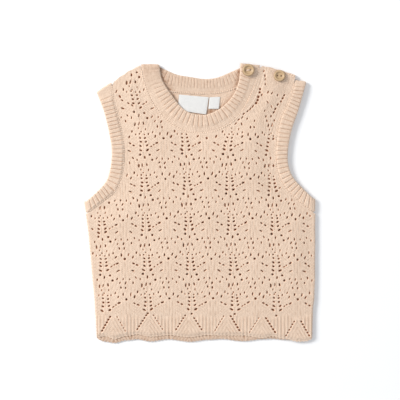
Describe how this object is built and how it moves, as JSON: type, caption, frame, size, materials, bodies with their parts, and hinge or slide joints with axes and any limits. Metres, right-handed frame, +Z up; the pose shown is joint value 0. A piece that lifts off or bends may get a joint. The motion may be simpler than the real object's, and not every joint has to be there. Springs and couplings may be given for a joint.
{
  "type": "baby's knitted sweater vest, laid flat",
  "caption": "Baby's sleeveless knitted lace vest laid flat, with ribbed bands, a scalloped hem and a buttoned shoulder.",
  "frame": {"origin": "middle of the underside that the vest lies on", "axes": "+Y up the vest from its hem to its shoulders, +X to the viewer's right with the front facing up, +Z up from the surface"},
  "size_m": [0.2307, 0.2786, 0.0089],
  "materials": {
    "lace_knit": "soft cotton lace knit, matt",
    "rib_knit": "soft cotton rib knit, matt",
    "button_wood": "smooth pale wood, satin",
    "woven_tape": "fine white woven tape, bare"
  },
  "bodies": {
    "root": {"front": "lace_knit", "back": "lace_knit", "neckband": "rib_knit", "armband_left": "rib_knit", "armband_right": "rib_knit", "button_neck": "button_wood", "button_shoulder": "button_wood", "neck_label": "woven_tape", "size_label": "woven_tape"}
  },
  "joints": []
}
